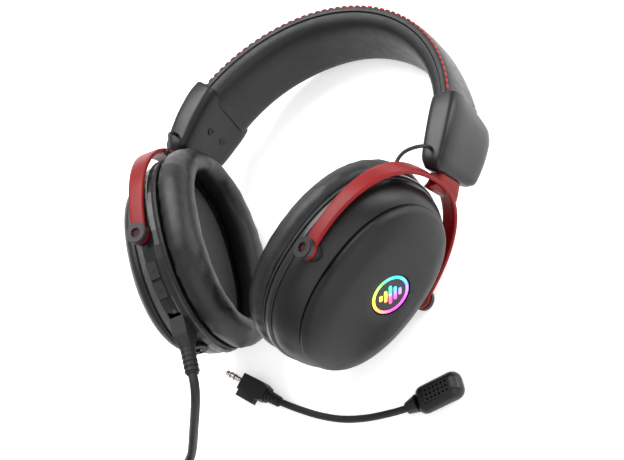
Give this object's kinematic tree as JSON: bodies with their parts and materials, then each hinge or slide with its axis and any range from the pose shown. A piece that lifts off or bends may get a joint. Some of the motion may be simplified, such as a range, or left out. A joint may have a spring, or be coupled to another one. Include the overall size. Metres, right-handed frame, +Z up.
{
  "type": "over-ear gaming headset",
  "caption": "Wired over-ear headset lying on its front, with padded headband, sliding yokes, tilting cups, coiled lead and a detached boom microphone beside it.",
  "frame": {"origin": "middle of the footprint, without the lead, on the desk that the headset lies on", "axes": "+Z up from the desk; +Y from the cups to the crown of the headband; +X towards the wearer's right ear"},
  "size_m": [0.1917, 0.3216, 0.0953],
  "materials": {
    "band_leather": "smooth black leatherette",
    "steel": "spring steel",
    "black_plastic": "fine-grained matte",
    "dark_plastic": "satin",
    "red_frame": "satin red paint",
    "pin_steel": "turned",
    "disc_grey": "satin grey with a dark red recess",
    "wire_black": "smooth",
    "cushion_leather": "soft protein leather",
    "mesh_fabric": "fine mesh",
    "circuit_board": "solder mask",
    "light_guide": "translucent, many-coloured light",
    "driver_metal": "zinc",
    "diaphragm_film": "clear film",
    "control_plastic": "fine matte",
    "lead_rubber": "matte sheath",
    "plug_metal": "nickel",
    "insulator": "dull red-brown"
  },
  "bodies": {
    "headband": {"headband_cover": "band_leather", "headband_pad": "band_leather", "headband_spring": "steel", "left_end_cap": "black_plastic", "right_end_cap": "black_plastic", "left_end_plate": "dark_plastic", "right_end_plate": "dark_plastic", "end_screws": "pin_steel"},
    "left_yoke_frame": {"left_yoke": "red_frame", "left_slider_bar": "steel", "left_pivot_pins": "pin_steel", "left_pivot_discs": "disc_grey", "left_link_wire": "wire_black"},
    "right_yoke_frame": {"right_yoke": "red_frame", "right_slider_bar": "steel", "right_pivot_pins": "pin_steel", "right_pivot_discs": "disc_grey", "right_link_wire": "wire_black"},
    "left_cup": {"left_outer_cap": "black_plastic", "left_shell": "black_plastic", "left_trim_ring": "dark_plastic", "left_baffle": "dark_plastic", "left_driver": "driver_metal", "left_diaphragm": "diaphragm_film", "left_cushion_plate": "dark_plastic", "left_ear_cushion": "cushion_leather", "left_ear_mesh": "mesh_fabric", "left_emblem": "light_guide", "left_light_board": "circuit_board", "control_board": "circuit_board", "status_light": "light_guide", "mic_socket": "dark_plastic", "strain_relief": "lead_rubber", "cord": "lead_rubber", "cord_coil": "lead_rubber", "usb_plug_grip": "lead_rubber", "usb_plug_shell": "plug_metal"},
    "right_cup": {"right_outer_cap": "black_plastic", "right_shell": "black_plastic", "right_trim_ring": "dark_plastic", "right_baffle": "dark_plastic", "right_driver": "driver_metal", "right_diaphragm": "diaphragm_film", "right_cushion_plate": "dark_plastic", "right_ear_cushion": "cushion_leather", "right_ear_mesh": "mesh_fabric", "right_emblem": "light_guide", "right_light_board": "circuit_board"},
    "volume_up": {"volume_up_button": "control_plastic"},
    "volume_down": {"volume_down_button": "control_plastic"},
    "mic_stem": {"mic_plug": "plug_metal", "mic_plug_rings": "insulator", "mic_boot": "black_plastic", "mic_sleeve": "lead_rubber", "mic_boom": "lead_rubber"},
    "mic_head": {"mic_collar": "black_plastic", "mic_housing": "black_plastic", "mic_grille": "mesh_fabric", "mic_capsule": "driver_metal"}
  },
  "joints": [
    {"name": "left_slider", "type": "slide", "parent": "headband", "child": "left_yoke_frame", "axis": [-0.1219, -0.9898, -0.0732], "range_m": [0, 0.018], "deforming": ["left_link_wire"]},
    {"name": "right_slider", "type": "slide", "parent": "headband", "child": "right_yoke_frame", "axis": [0.1219, -0.9898, -0.0732], "range_m": [0, 0.018], "deforming": ["right_link_wire"]},
    {"name": "left_cup_tilt", "type": "hinge", "parent": "left_yoke_frame", "child": "left_cup", "pos_m": [-0.06073, -0.04077, 0.04763], "axis": [-0.1149, 0.0733, -0.9907], "range_deg": [-1, 14], "deforming": ["left_link_wire"]},
    {"name": "right_cup_tilt", "type": "hinge", "parent": "right_yoke_frame", "child": "right_cup", "pos_m": [0.05067, -0.04077, 0.04763], "axis": [-0.1149, -0.0733, 0.9907], "range_deg": [-1, 14], "deforming": ["right_link_wire"]},
    {"name": "volume_up_press", "type": "slide", "parent": "left_cup", "child": "volume_up", "axis": [-0.2146, 0.2567, -0.9424], "range_m": [0, 0.0006], "stiffness_N_per_m": 900},
    {"name": "volume_down_press", "type": "slide", "parent": "left_cup", "child": "volume_down", "axis": [-0.2955, 0.411, -0.8624], "range_m": [0, 0.0006], "stiffness_N_per_m": 900},
    {"name": "mic_unplugged", "type": "slide", "parent": "headband", "child": "mic_stem", "axis": [0, -1, 0], "range_m": [0, 0.03]},
    {"name": "mic_boom_bend", "type": "hinge", "parent": "mic_stem", "child": "mic_head", "pos_m": [0.02897, -0.10237, 0.0047], "axis": [0, 0, 1], "range_deg": [-20, 20], "deforming": ["mic_boom"]}
  ]
}
